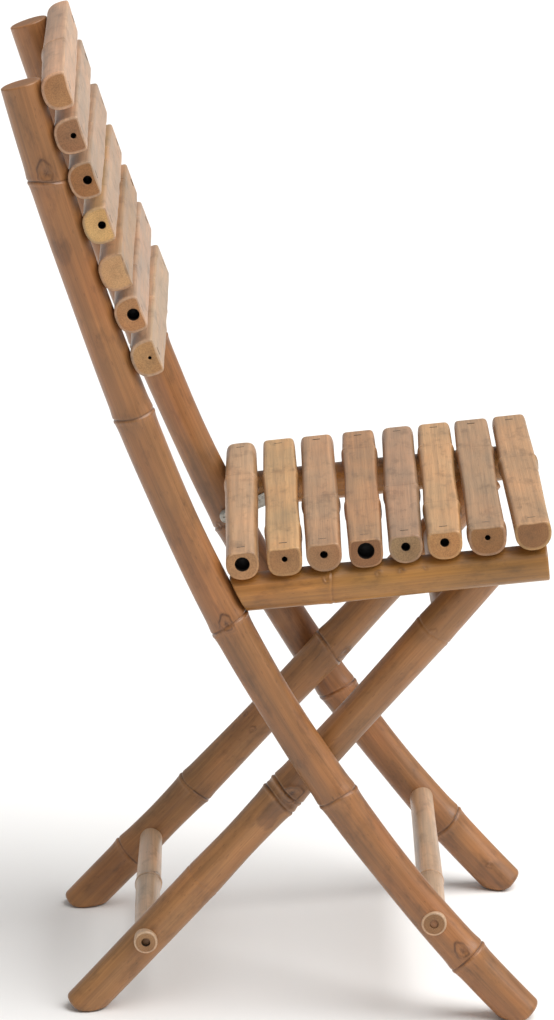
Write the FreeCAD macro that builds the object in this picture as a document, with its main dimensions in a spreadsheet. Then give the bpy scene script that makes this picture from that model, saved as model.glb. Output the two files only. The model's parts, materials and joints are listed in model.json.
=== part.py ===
"""Bamboo folding chair: two bent long poles crossed by two short legs, with a slatted back
and a slatted seat that lifts off two catch bolts and folds up against the poles."""
import FreeCAD, Part
import math
import os

import Sketcher

# Sizes are in millimetres and degrees.
# +X is the chair's front, +Y the sitter's left, +Z up.
# The origin is on the floor, in the middle of the chair's depth and width.
# A slope is measured from the vertical.

SIZES = {
    # Slats
    "slat_length": 400,
    "slat_overhang": 15.5,
    "end_easing": 1,
    "bore_depth": 14,
    "planed_corner": 1,
    "slat_diameter": 33,
    # Long poles, each two bends that meet at the bend slope
    "pole_diameter": 36,
    "pole_foot_x": 221.6,
    "pole_foot_slope": 43.9,
    "pole_bend_slope": 22.1,
    "pole_lower_bend": 1540,
    "pole_upper_bend_left": 4800,
    "pole_upper_bend_right": 3000,
    "pole_upper_length_left": 381.5,
    "pole_upper_length_right": 387.5,
    # Short legs
    "leg_diameter": 35,
    "leg_foot_slope": 43.9,
    "leg_bend": 12360,
    "leg_turn_left": 0.3,
    "leg_turn_right": -0.5,
    "leg_pole_gap": 1.5,
    "leg_top_reach": 12,
    "foot_spare": 70,
    "pole_toe_height": 14,
    "leg_toe_height_left": 7,
    "leg_toe_height_right": 14,
    # Node rings that stand out of the culms
    "ring_height": 1.2,
    "ring_width": 5,
    # Seat
    "seat_pivot_height": 411,
    "seat_pivot_drop": 8.5,
    "seat_slope": 5.5,
    "rail_diameter": 34,
    "rail_front_reach": 49,
    "rail_pole_gap": 0.8,
    "rail_flat_depth": 0.5,
    "rail_bore_diameter": 7,
    "seat_slat_pitch": 36.15,
    "front_slat_setback": 15,
    "seat_slat_thickness": 26.5,
    "seat_scribe_depth": 2,
    "slat_pole_gap": 2.3,
    # Back
    "back_slat_pitch": 41.2,
    "top_slat_drop": 13,
    "back_slat_thickness": 25,
    "back_scribe_depth": 2.5,
    # Rungs
    "front_rung_height": 95,
    "front_rung_diameter": 24,
    "front_rung_proud": 0.8,
    "rear_rung_height": 69,
    "rear_rung_diameter": 23,
    "rear_rung_proud": 5,
    "upper_rung_drop": 47,
    "upper_rung_diameter": 24,
    "upper_rung_socket": 14,
    "rung_bore_diameter": 8,
    # Pivots
    "pivot_diameter": 8,
    "pivot_clearance": 0.05,
    "pivot_depth": 22,
    "pivot_end_gap": 1,
    "washer_diameter": 24,
    "washer_clearance": 1,
    "leg_washer_thickness": 1.2,
    "seat_washer_thickness": 0.6,
    # Catch that holds the seat's rear on the long poles
    "catch_drop": 18,
    "catch_pole_gap": 0.5,
    "catch_head_gap": 0.3,
    "catch_head_diameter": 14,
    "catch_head_thickness": 3.5,
    "catch_shank_diameter": 6,
    "catch_thread_depth": 26,
    "catch_recess_length": 8,
    "catch_recess_width": 1.6,
    "catch_recess_depth": 1.4,
    "filed_diameter": 70,
    "hook_thickness": 2.5,
    "hook_width": 12,
    "hook_reach": 46,
    "hook_slot_clearance": 0.4,
    "hook_slot_lean": 22,
    "hook_screw_pitch": 30,
    "hook_screw_diameter": 4,
    "hook_screw_head": 8,
    "hook_screw_head_thickness": 1.8,
    "hook_screw_length": 15,
    # Staples
    "staple_width": 7,
    "staple_wire": 1.2,
    "staple_proud": 0.3,
    "staple_length": 36,
}

# One entry per slat, from the right end to the left: diameter as a share of the slat
# diameter, shares of the length at which it has nodes, the hollow in its right and left end
# as shares of its own diameter, and how far each end is set off the even spacing, forwards on
# the seat and upwards on the back, as shares of the slat diameter.
SEAT_CULMS = [
    (0.924, (0.695,), 0.43, 0.20, (0, -0.03)),
    (0.970, (0.211, 0.688), 0.16, 0.13, (0.04, -0.03)),
    (1.000, (0.425,), 0.21, 0.27, (0, -0.03)),
    (0.970, (0.351, 0.836), 0.47, 0.16, (0.03, 0.06)),
    (0.970, (0.443,), 0.25, 0.22, (0, 0.09)),
    (0.985, (0.263, 0.785), 0.25, 0, (-0.05, 0.05)),
    (1.015, (0.039, 0.726), 0.15, 0.24, (0, 0.03)),
    (1.030, (0.592,), 0, 0.18, (0.12, 0.03)),
]
BACK_CULMS = [
    (1.060, (0.42,), 0, 0.14, (0, 0.08)),
    (1.030, (0.60,), 0.15, 0, (0, 0.17)),
    (1.045, (0.45,), 0.23, 0.17, (0, 0.08)),
    (1.030, (0.52, 0.68), 0.21, 0, (-0.02, 0.08)),
    (1.030, (0.81,), 0, 0.18, (-0.10, 0.08)),
    (1.030, (0.30, 0.80), 0.32, 0.12, (-0.08, 0.17)),
    (1.045, (0.41, 0.60), 0.09, 0.20, (-0.09, 0.08)),
]

# Nodes: shares of a pole's length down from its top, of a leg's height up to the seat pivot,
# and of a rail's and a rung's length.
POLE_NODES = {"right": (0.093, 0.313, 0.534, 0.724, 0.913), "left": (0.115, 0.332, 0.535, 0.715, 0.877)}
LEG_NODES = {"right": (0.280, 0.489, 0.516, 0.839), "left": (0.136, 0.280, 0.620, 0.856)}
RAIL_NODES = {"right": (0.33,), "left": (0.46,)}
RUNG_NODES = {"front_rung": (0.29,), "rear_rung": (0.48,), "upper_rung": (0.4,)}

SIDES = {"left": 1, "right": -1}
LONG = 1000

doc = FreeCAD.newDocument("BambooFoldingChair")
sheet = doc.addObject("Spreadsheet::Sheet", "Sizes")
parts = {}
rows = []


def add_size(alias, number):
    """Put one size in the sheet and name its cell."""
    rows.append(alias)
    row = len(rows)
    sheet.set(f"A{row}", alias)
    sheet.set(f"B{row}", f"{number:.6f}")
    sheet.setAlias(f"B{row}", alias)


def size(alias):
    return float(sheet.get(alias))


def radius(alias):
    return size(alias) / 2


for name, number in SIZES.items():
    add_size(name, number)
doc.recompute()


# Side view geometry
def vector(x, z, y=0.0):
    return FreeCAD.Vector(x, y, z)


ACROSS = FreeCAD.Vector(0, 1, 0)
UPRIGHT = FreeCAD.Vector(0, 0, 1)
FOOT = math.radians(size("pole_foot_slope"))
BEND = math.radians(size("pole_bend_slope"))
LOWER = size("pole_lower_bend")
UPPER = {side: size(f"pole_upper_bend_{side}") for side in SIDES}
UPPER_LENGTH = {side: size(f"pole_upper_length_{side}") for side in SIDES}
LEG_FOOT = math.radians(size("leg_foot_slope"))
LEG_BEND = size("leg_bend")


def crossing(low, high, is_past):
    """Narrow a value down to where the test changes."""
    for _ in range(60):
        middle = (low + high) / 2
        if is_past(middle):
            high = middle
        else:
            low = middle
    return (low + high) / 2


def pole_out(slope):
    """Square to the pole, towards the chair's front."""
    return vector(math.cos(slope), math.sin(slope))


def pole_along(slope):
    """Up along the pole."""
    return vector(-math.sin(slope), math.cos(slope))


LOWER_CENTRE = vector(size("pole_foot_x"), 0) + pole_out(FOOT) * LOWER


def pole_point(slope):
    """Point of the lower bend's centre line where it has this slope."""
    return LOWER_CENTRE - pole_out(slope) * LOWER


def pole_slope_at_height(height):
    return math.asin(math.sin(FOOT) - height / LOWER)


def upper_centre(side):
    return pole_point(BEND) + pole_out(BEND) * UPPER[side]


def pole_at(side, station):
    """Slope and centre point of a pole at a distance down from its top end."""
    rise = UPPER_LENGTH[side] - station
    if rise < 0:
        slope = BEND - rise / LOWER
        return slope, pole_point(slope)
    slope = BEND - rise / UPPER[side]
    return slope, upper_centre(side) - pole_out(slope) * UPPER[side]


def leg_out(slope):
    """Square to the leg, downwards and to the front."""
    return vector(math.cos(slope), -math.sin(slope))


def leg_along(slope):
    return vector(math.sin(slope), math.cos(slope))


def leg_slope_at_height(height):
    return math.asin(math.sin(LEG_FOOT) - height / LEG_BEND)


SEAT_SLOPE = math.radians(size("seat_slope"))
SEAT_ALONG = vector(math.cos(SEAT_SLOPE), math.sin(SEAT_SLOPE))
SEAT_UP = vector(-math.sin(SEAT_SLOPE), math.cos(SEAT_SLOPE))
REAR_SLAT_RADIUS = SEAT_CULMS[0][0] * radius("slat_diameter")
REAR_SLAT_REACH = (
    size("rail_front_reach") - size("front_slat_setback") - (len(SEAT_CULMS) - 1) * size("seat_slat_pitch")
)
REAR_SLAT_RISE = (
    size("seat_pivot_drop") + radius("rail_diameter") - size("seat_scribe_depth") + REAR_SLAT_RADIUS
)


def rear_slat_clears_pole(pivot_x):
    pivot = vector(pivot_x, size("seat_pivot_height"))
    centre = pivot + SEAT_ALONG * REAR_SLAT_REACH + SEAT_UP * REAR_SLAT_RISE
    apart = LOWER - (centre - LOWER_CENTRE).Length
    return apart > radius("pole_diameter") + size("slat_pole_gap") + REAR_SLAT_RADIUS


SEAT_PIVOT = vector(crossing(-LONG, LONG, rear_slat_clears_pole), size("seat_pivot_height"))
LEG_CENTRE = SEAT_PIVOT - leg_out(leg_slope_at_height(SEAT_PIVOT.z)) * LEG_BEND


def leg_point(slope):
    return LEG_CENTRE + leg_out(slope) * LEG_BEND


def leg_is_in_front(height):
    pole_x = pole_point(pole_slope_at_height(height)).x
    return leg_point(leg_slope_at_height(height)).x > pole_x


PIVOT_HEIGHT = crossing(0, SEAT_PIVOT.z, leg_is_in_front)
LEG_PIVOT = pole_point(pole_slope_at_height(PIVOT_HEIGHT))
RAIL_FRONT = SEAT_PIVOT + SEAT_UP * size("seat_pivot_drop") + SEAT_ALONG * size("rail_front_reach")


def rail_is_past_pole(reach):
    point = RAIL_FRONT - SEAT_ALONG * reach
    return point.x < pole_point(pole_slope_at_height(point.z)).x


RAIL_LENGTH = crossing(0, LONG, rail_is_past_pole)
RAIL_REAR = RAIL_FRONT - SEAT_ALONG * RAIL_LENGTH
RAIL_POLE_SLOPE = pole_slope_at_height(RAIL_REAR.z)
CATCH = pole_point(pole_slope_at_height(RAIL_REAR.z - size("catch_drop")))

# Side planes, from the outside inwards
POLE_PLANE = size("slat_length") / 2 - size("slat_overhang")
POLE_INNER = POLE_PLANE - radius("pole_diameter")
LEG_OUTER = POLE_INNER - size("leg_pole_gap")
LEG_PLANE = LEG_OUTER - radius("leg_diameter")
HOOK_OUTER = POLE_INNER - size("catch_pole_gap")
HOOK_INNER = HOOK_OUTER - size("hook_thickness")
CATCH_HEAD = HOOK_INNER - size("catch_head_gap")
RAIL_PLANE = HOOK_OUTER - size("rail_flat_depth") + radius("rail_diameter")
LEG_INNER = LEG_PLANE - radius("leg_diameter")

derived = {
    "rail_length": RAIL_LENGTH,
    "front_rung_length": 2 * (POLE_PLANE + radius("pole_diameter") + size("front_rung_proud")),
    "rear_rung_length": 2 * (LEG_OUTER + size("rear_rung_proud")),
    "upper_rung_length": 2 * (LEG_INNER + size("upper_rung_socket")),
    "pole_lower_sweep": math.degrees(FOOT - BEND + size("foot_spare") / LOWER),
    "pole_upper_sweep_left": math.degrees(UPPER_LENGTH["left"] / UPPER["left"]),
    "pole_upper_sweep_right": math.degrees(UPPER_LENGTH["right"] / UPPER["right"]),
    "leg_sweep": math.degrees(
        LEG_FOOT
        - leg_slope_at_height(size("seat_pivot_height"))
        + (size("foot_spare") + size("leg_top_reach")) / LEG_BEND
    ),
}
for name, number in derived.items():
    add_size(name, number)
doc.recompute()


# Small building blocks
def lay(point, along, up):
    """Placement with local X along one direction and local Z up another."""
    return FreeCAD.Placement(point, FreeCAD.Rotation(along, up.cross(along), up, "ZXY"))


def finish(item, label, placement=None):
    """Name a finished sub-part, place it and list it for export."""
    item.Label = label
    if placement is not None:
        item.Placement = placement
    parts[label] = item
    return item


def origin_plane(body, role):
    return next(item for item in body.Origin.OriginFeatures if item.Role == role)


def outline(body, role, name, corners):
    """Closed outline on one of the body's own planes; each corner is two expressions."""
    sketch = body.newObject("Sketcher::SketchObject", name)
    sketch.AttachmentSupport = [(origin_plane(body, role), "")]
    sketch.MapMode = "FlatFace"
    points = [vector(sketch.evalExpression(x), 0, sketch.evalExpression(y)) for x, y in corners]
    count = len(points)
    for index in range(count):
        sketch.addGeometry(Part.LineSegment(points[index], points[(index + 1) % count]))
    for index, corner in enumerate(corners):
        sketch.addConstraint(Sketcher.Constraint("Coincident", index, 2, (index + 1) % count, 1))
        for kind, expression, number in (
            ("DistanceX", corner[0], points[index].x),
            ("DistanceY", corner[1], points[index].y),
        ):
            tie = sketch.addConstraint(Sketcher.Constraint(kind, -1, 1, index, 1, number))
            sketch.setExpression(f"Constraints[{tie}]", expression)
    return sketch


def cut_through(body, role, name, corners):
    """Cut an outline right through the body, both ways from its plane."""
    pocket = body.newObject("PartDesign::Pocket", name)
    pocket.Profile = outline(body, role, name + "Outline", corners)
    pocket.SideType = "Symmetric"
    pocket.Length = LONG
    return pocket


def culm(name, length, girth, nodes, bores, ring="Sizes.ring_height"):
    """Straight culm along X with raised node rings, eased ends and a blind hollow at each end."""
    body = doc.addObject("PartDesign::Body", name)
    wall = f"{girth} / 2"
    eased = f"{wall} - Sizes.end_easing"
    corners = []
    if bores[0]:
        corners += [("Sizes.bore_depth", "0"), ("Sizes.bore_depth", f"{bores[0]} / 2")]
        corners += [("0", f"{bores[0]} / 2")]
    else:
        corners += [("0", "0")]
    corners += [("0", eased), ("Sizes.end_easing", wall)]
    for share in sorted(nodes):
        for offset, rise in ((-0.5, "0"), (-0.2, ring), (0.2, ring), (0.5, "0")):
            corners.append((f"{length} * {share} + Sizes.ring_width * {offset}", f"{wall} + {rise}"))
    corners += [(f"{length} - Sizes.end_easing", wall), (length, eased)]
    if bores[1]:
        corners += [(length, f"{bores[1]} / 2")]
        corners += [(f"{length} - Sizes.bore_depth", f"{bores[1]} / 2")]
        corners += [(f"{length} - Sizes.bore_depth", "0")]
    else:
        corners += [(length, "0")]
    turned = body.newObject("PartDesign::Revolution", name + "Turned")
    sketch = outline(body, "XY_Plane", name + "Profile", corners)
    turned.Profile = sketch
    turned.ReferenceAxis = (sketch, ["H_Axis"])
    turned.Angle = 360
    return body


def plane_face(body, name, girth, rise):
    """Plane the culm flat at a height over its axis and take off the two corners."""
    flat = f"sqrt(({girth} / 2) ^ 2 - ({rise}) ^ 2) - Sizes.planed_corner"
    drop = f"({rise}) + {flat} - {girth}"
    corners = [(f"-{girth}", drop), (f"-({flat})", rise), (flat, rise), (girth, drop)]
    corners += [(girth, girth), (f"-{girth}", girth)]
    cut_through(body, "YZ_Plane", name + "Planed", corners)


def rod(name, diameter, length, point, along):
    """Plain round bar from a point, in one direction."""
    item = doc.addObject("Part::Cylinder", name)
    item.setExpression("Radius", f"({diameter}) / 2")
    item.setExpression("Height", length)
    item.Placement = FreeCAD.Placement(point, FreeCAD.Rotation(FreeCAD.Vector(0, 0, 1), along))
    return item


def fuse(name, items):
    joined = doc.addObject("Part::MultiFuse", name)
    joined.Shapes = items
    return joined


def cut(name, base, tools):
    """Cut one or more tools out of a base."""
    item = doc.addObject("Part::Cut", name)
    item.Base = base
    item.Tool = tools[0] if len(tools) == 1 else fuse(name + "Tools", tools)
    return item


def bent_tube(name, centre, bend, diameter, sweep, start, plane_y):
    """Round bar bent to a radius in the side plane, swept up from a starting angle."""
    item = doc.addObject("Part::Torus", name)
    item.setExpression("Radius1", bend)
    item.setExpression("Radius2", f"{diameter} / 2")
    item.setExpression("Angle3", sweep)
    first = vector(math.cos(start), math.sin(start))
    item.Placement = lay(centre + FreeCAD.Vector(0, plane_y, 0), first, FreeCAD.Vector(0, -1, 0))
    return item


def node_ring(name, diameter, point, along):
    """Rounded ring round a bent culm, sunk so that only its crest stands out."""
    item = doc.addObject("Part::Torus", name)
    item.setExpression("Radius1", f"{diameter} / 2 - Sizes.ring_width / 2")
    item.setExpression("Radius2", "Sizes.ring_width / 2 + Sizes.ring_height")
    item.Placement = FreeCAD.Placement(point, FreeCAD.Rotation(FreeCAD.Vector(0, 0, 1), along))
    return item


def at(point, y):
    return FreeCAD.Vector(point.x, y, point.z)


def ground(name, end, down):
    """Block under the floor and a block past the sawn end, both taken off a foot."""
    floor = doc.addObject("Part::Box", name + "Floor")
    beyond = doc.addObject("Part::Box", name + "Beyond")
    for block in (floor, beyond):
        block.Length = block.Width = block.Height = LONG
    floor.Placement.Base = FreeCAD.Vector(-LONG / 2, -LONG / 2, -LONG)
    out = ACROSS.cross(down)
    beyond.Placement = lay(end - (out + ACROSS) * (LONG / 2), out, down)
    return [floor, beyond]


def washer_flat(name, point, face, side_way):
    """Round patch round a pivot that is filed down to the culm's own side, node and all."""
    across = "Sizes.washer_diameter + 2 * Sizes.washer_clearance"
    return rod(name, across, "Sizes.washer_diameter", at(point, face), side_way)


# Rungs, from the right side to the left
RUNG_UP = vector(1, 1).normalize()


def rung(name, point):
    """Make the rung and return the solid bar that bores its holes."""
    length = f"Sizes.{name}_length"
    bores = ("Sizes.rung_bore_diameter", "Sizes.rung_bore_diameter")
    if name == "upper_rung":
        bores = (None, None)
    body = culm(name, length, f"Sizes.{name}_diameter", RUNG_NODES[name], bores)
    start = at(point, -size(f"{name}_length") / 2)
    finish(body, name, lay(start, ACROSS, RUNG_UP))
    if name == "upper_rung":
        return rod(name + "_hole", f"Sizes.{name}_diameter", length, start, ACROSS)
    start -= ACROSS * size("ring_width")
    return rod(name + "_hole", f"Sizes.{name}_diameter", f"{length} + 2 * Sizes.ring_width", start, ACROSS)


front_hole = rung("front_rung", pole_point(pole_slope_at_height(size("front_rung_height"))))
rear_hole = rung("rear_rung", leg_point(leg_slope_at_height(size("rear_rung_height"))))
upper_hole = rung("upper_rung", leg_point(leg_slope_at_height(SEAT_PIVOT.z - size("upper_rung_drop"))))


# Pivot pins, each fixed in the outer culm and free to turn in the short leg
def pivot(name, side, point, inner_face, washer):
    outward = ACROSS * SIDES[side]
    start = at(point, SIDES[side] * (LEG_OUTER - size("pivot_depth")))
    reach = inner_face - LEG_OUTER
    length = f"2 * Sizes.pivot_depth + {reach:.6f}"
    label = f"{name}_pin_{side}"
    pin = finish(rod(label, "Sizes.pivot_diameter", length, start, outward), label)
    bore_start = start - outward * size("pivot_end_gap")
    bore = rod(
        f"{name}_bore_{side}",
        "Sizes.pivot_diameter + 2 * Sizes.pivot_clearance",
        "2 * Sizes.pivot_depth",
        bore_start,
        outward,
    )
    disc_start = at(point, SIDES[side] * (inner_face - size(washer)))
    disc = rod(f"{name}_disc_{side}", "Sizes.washer_diameter", f"Sizes.{washer}", disc_start, outward)
    finish(cut(f"{name}_washer_{side}", disc, [pin]), f"{name}_washer_{side}")
    leg_flat = washer_flat(f"{name}_leg_flat_{side}", point, SIDES[side] * LEG_OUTER, outward)
    return pin, [bore, leg_flat]


# Catch bolt, driven into the pole's inner face, turned with its head inwards
def catch_bolt(side):
    label = f"catch_bolt_{side}"
    body = doc.addObject("PartDesign::Body", label)
    shank = "Sizes.catch_shank_diameter / 2"
    head = "Sizes.catch_head_diameter / 2"
    under = "Sizes.catch_head_thickness"
    tip = f"{under} + {POLE_INNER - CATCH_HEAD:.6f} + Sizes.catch_thread_depth"
    corners = [("0", "0"), ("0", f"{head} * 0.55"), (f"{under} * 0.3", f"{head} * 0.88")]
    corners += [(f"{under} * 0.7", head), (under, head), (under, shank)]
    corners += [(f"{tip} - {shank}", shank), (tip, "0")]
    turned = body.newObject("PartDesign::Revolution", label + "Turned")
    sketch = outline(body, "XY_Plane", label + "Profile", corners)
    turned.Profile = sketch
    turned.ReferenceAxis = (sketch, ["H_Axis"])
    turned.Angle = 360
    for role in ("XY_Plane", "XZ_Plane"):
        half = "Sizes.catch_recess_length / 2"
        deep = "Sizes.catch_recess_depth"
        corners = [("-1", f"-{half}"), (deep, f"-{half}"), (deep, half), ("-1", half)]
        slot = body.newObject("PartDesign::Pocket", label + "Slot" + role[:2])
        slot.Profile = outline(body, role, label + "SlotOutline" + role[:2], corners)
        slot.SideType = "Symmetric"
        slot.setExpression("Length", "Sizes.catch_recess_width")
    outward = ACROSS * SIDES[side]
    start = at(CATCH, SIDES[side] * (CATCH_HEAD - size("catch_head_thickness")))
    return finish(body, label, lay(start, outward, UPRIGHT))


# Long poles
def long_pole(side):
    plane_y = SIDES[side] * POLE_PLANE
    label = f"long_pole_{side}"
    length = UPPER_LENGTH[side] + LOWER * (FOOT - BEND)
    girth = "Sizes.pole_diameter"
    lower_sweep = "Sizes.pole_lower_sweep"
    upper_sweep = f"Sizes.pole_upper_sweep_{side}"
    start = math.pi + BEND
    bend = "Sizes.pole_lower_bend"
    lower = bent_tube(label + "Lower", LOWER_CENTRE, bend, girth, lower_sweep, start, plane_y)
    bend = f"Sizes.pole_upper_bend_{side}"
    start -= UPPER_LENGTH[side] / UPPER[side]
    upper = bent_tube(label + "Upper", upper_centre(side), bend, girth, upper_sweep, start, plane_y)
    pieces = [lower, upper]
    for index, share in enumerate(POLE_NODES[side]):
        slope, point = pole_at(side, share * length)
        pieces.append(node_ring(f"{label}Ring{index}", girth, at(point, plane_y), pole_along(slope)))
    # The nodes beside the catch and the pivot are filed flat on the inside.
    inward = ACROSS * -SIDES[side]
    inner = SIDES[side] * POLE_INNER
    filed = rod(label + "Filed", "Sizes.filed_diameter", girth, at(CATCH, inner), inward)
    pivot_flat = washer_flat(label + "PivotFlat", LEG_PIVOT, inner, inward)
    slope = pole_slope_at_height(size("pole_toe_height") - radius("pole_diameter") * math.sin(FOOT))
    foot = ground(label, pole_point(slope), pole_along(slope) * -1)
    pin, leg_tools = pivot("leg_pivot", side, LEG_PIVOT, POLE_INNER, "leg_washer_thickness")
    tools = foot + [front_hole, pin, catch_bolt(side), filed, pivot_flat]
    return finish(cut(label, fuse(label + "Culm", pieces), tools), label), leg_tools


# Short legs, each turned a little about the middle between its pivots
def short_leg(side, pivot_tools):
    plane_y = SIDES[side] * LEG_PLANE
    label = f"short_leg_{side}"
    girth = "Sizes.leg_diameter"
    start = -LEG_FOOT - size("foot_spare") / LEG_BEND
    sweep = "Sizes.leg_sweep"
    pieces = [bent_tube(label + "Tube", LEG_CENTRE, "Sizes.leg_bend", girth, sweep, start, plane_y)]
    for index, share in enumerate(LEG_NODES[side]):
        slope = leg_slope_at_height(share * SEAT_PIVOT.z)
        point = at(leg_point(slope), plane_y)
        pieces.append(node_ring(f"{label}Ring{index}", girth, point, leg_along(slope)))
    leg = fuse(label + "Culm", pieces)
    turn = FreeCAD.Rotation(ACROSS, size(f"leg_turn_{side}"))
    leg.Placement = FreeCAD.Placement(vector(0, 0), turn, (LEG_PIVOT + SEAT_PIVOT) / 2)
    slope = leg_slope_at_height(size(f"leg_toe_height_{side}") - radius("leg_diameter") * math.sin(LEG_FOOT))
    end = leg.Placement.multVec(leg_point(slope))
    foot = ground(label, end, turn.multVec(leg_along(slope) * -1))
    return finish(cut(label, leg, foot + [rear_hole, upper_hole] + pivot_tools), label)


# Seat hooks, steel straps on the rails' inner faces that drop over the catch bolts
def seat_hook(side):
    inward = ACROSS * -SIDES[side]
    label = f"seat_hook_{side}"
    front = RAIL_REAR + SEAT_ALONG * (size("hook_reach") + radius("pole_diameter"))
    lean = front - CATCH
    strap_length = lean.Length
    lean.normalize()
    outer_y = SIDES[side] * HOOK_OUTER
    thick = "Sizes.hook_thickness"
    discs = [
        rod(f"{label}End{index}", "Sizes.hook_width", thick, at(point, outer_y), inward)
        for index, point in enumerate((CATCH, front))
    ]
    strap = doc.addObject("Part::Box", label + "Strap")
    strap.Length = strap_length
    strap.setExpression("Width", "Sizes.hook_width")
    strap.setExpression("Height", thick)
    side_way = inward.cross(lean)
    strap.Placement = lay(at(CATCH, outer_y) - side_way * radius("hook_width"), lean, inward)
    slot_diameter = "Sizes.catch_shank_diameter + 2 * Sizes.hook_slot_clearance"
    down = math.radians(size("hook_slot_lean"))
    open_way = vector(math.sin(down), -math.cos(down))
    slot = doc.addObject("Part::Box", label + "Slot")
    slot.setExpression("Length", "Sizes.hook_width")
    slot.setExpression("Width", slot_diameter)
    slot.setExpression("Height", f"3 * {thick}")
    gap = radius("catch_shank_diameter") + size("hook_slot_clearance")
    corner = at(CATCH, outer_y) - inward * size("hook_thickness") - inward.cross(open_way) * gap
    slot.Placement = lay(corner, open_way, inward)
    eye_start = at(CATCH, outer_y) - inward * size("hook_thickness")
    eye = rod(label + "Eye", slot_diameter, f"3 * {thick}", eye_start, inward)
    holes = []
    for index in range(2):
        point = front - lean * (index * size("hook_screw_pitch"))
        start = at(point, outer_y) + inward * (size("hook_thickness") + size("hook_screw_head_thickness"))
        shank_start = at(point, outer_y) + inward * size("hook_thickness")
        deep = "Sizes.hook_screw_head_thickness"
        head = rod(f"{label}Head{index}", "Sizes.hook_screw_head", deep, start, inward * -1)
        deep = "Sizes.hook_screw_length"
        shank = rod(f"{label}Shank{index}", "Sizes.hook_screw_diameter", deep, shank_start, inward * -1)
        hook_screws.append(fuse(f"{label}Screw{index}", [head, shank]))
        holes.append(shank)
    plate = fuse(label + "Plate", discs + [strap])
    finish(cut(label, plate, [slot, eye] + holes), label)
    return holes


# Seat rails
def seat_rail(side, seat_pin, screw_holes):
    label = f"seat_rail_{side}"
    bores = (None, "Sizes.rail_bore_diameter")
    body = culm(label + "Culm", "Sizes.rail_length", "Sizes.rail_diameter", RAIL_NODES[side], bores)
    body.Placement = lay(at(RAIL_REAR, SIDES[side] * RAIL_PLANE), SEAT_ALONG, SEAT_UP)
    # The rear end is cut along the pole's front, and the inner side is planed for the hook.
    lean = RAIL_POLE_SLOPE - SEAT_SLOPE
    offset = (radius("pole_diameter") + size("rail_pole_gap")) / math.cos(lean)
    rise = math.tan(lean) * size("rail_diameter")
    top_x = f"{offset - rise:.6f}"
    bottom_x = f"{offset + rise:.6f}"
    girth = "Sizes.rail_diameter"
    behind = "-2 * Sizes.pole_diameter"
    corners = [(behind, f"-{girth}"), (bottom_x, f"-{girth}"), (top_x, girth), (behind, girth)]
    cut_through(body, "XZ_Plane", label + "RearCut", corners)
    face = f"({girth} / 2 - Sizes.rail_flat_depth) * {-SIDES[side]}"
    past = f"{girth} * {-SIDES[side]}"
    end = "Sizes.rail_length + 1"
    corners = [("-1", face), (end, face), (end, past), ("-1", past)]
    cut_through(body, "XY_Plane", label + "InnerFlat", corners)
    return finish(cut(label, body, [seat_pin] + screw_holes), label)


hook_screws = []
poles = []
rails = []
for side in SIDES:
    pole, leg_pivot_tools = long_pole(side)
    seat_pin, seat_pivot_tools = pivot("seat_pivot", side, SEAT_PIVOT, HOOK_OUTER, "seat_washer_thickness")
    short_leg(side, leg_pivot_tools + seat_pivot_tools)
    rails.append(seat_rail(side, seat_pin, seat_hook(side)))
    poles.append(pole)
screws = doc.addObject("Part::Compound", "hook_screws")
screws.Links = hook_screws
finish(screws, "hook_screws")


# Staples, a crown on the planed face and two legs driven down from it
def staple(point, up, crown_way):
    wire = size("staple_wire")
    half = size("staple_width") / 2
    crown = Part.makeBox(2 * half, wire, wire)
    legs = [Part.makeBox(wire, wire, size("staple_length")) for _ in range(2)]
    drop = size("staple_length") - wire
    crown.translate(FreeCAD.Vector(-half, -wire / 2, size("staple_proud") - wire))
    for leg, x in zip(legs, (-half, half - wire)):
        leg.translate(FreeCAD.Vector(x, -wire / 2, size("staple_proud") - wire - drop))
    shape = crown.fuse(legs).removeSplitter()
    shape.Placement = lay(point, crown_way, up)
    return shape


# Slats, planed on the face that shows and scribed over the two culms that carry them
def slat(label, traits, thickness, near, far, up, carriers):
    """Lay a slat through two points of its axis, and return its two staples."""
    share, nodes, near_bore, far_bore, _ = traits
    girth = f"Sizes.slat_diameter * {share}"
    bores = [f"{girth} * {bore}" if bore else None for bore in (near_bore, far_bore)]
    body = culm(label + "Culm", "Sizes.slat_length", girth, nodes, bores)
    plane_face(body, label, girth, f"Sizes.{thickness} - {girth} / 2")
    across = (far - near).normalize()
    up = (up - across * up.dot(across)).normalize()
    body.Placement = lay((near + far) / 2 - across * (size("slat_length") / 2), across, up)
    finish(cut(label, body, carriers), label)
    face = up * (size(thickness) - share * radius("slat_diameter"))
    return [staple(point + face, up, across.cross(up)) for point in (near, far)]


seat_staples = []
for index, traits in enumerate(SEAT_CULMS, 1):
    steps = len(SEAT_CULMS) - index
    foot = RAIL_FRONT - SEAT_ALONG * (size("front_slat_setback") + steps * size("seat_slat_pitch"))
    rise = radius("rail_diameter") - size("seat_scribe_depth") + traits[0] * radius("slat_diameter")
    ends = []
    for side, shift in zip(("right", "left"), traits[4]):
        point = foot + SEAT_UP * rise + SEAT_ALONG * (shift * size("slat_diameter"))
        ends.append(at(point, SIDES[side] * RAIL_PLANE))
    label = f"seat_slat_{index}"
    seat_staples += slat(label, traits, "seat_slat_thickness", ends[0], ends[1], SEAT_UP, rails)

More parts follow.
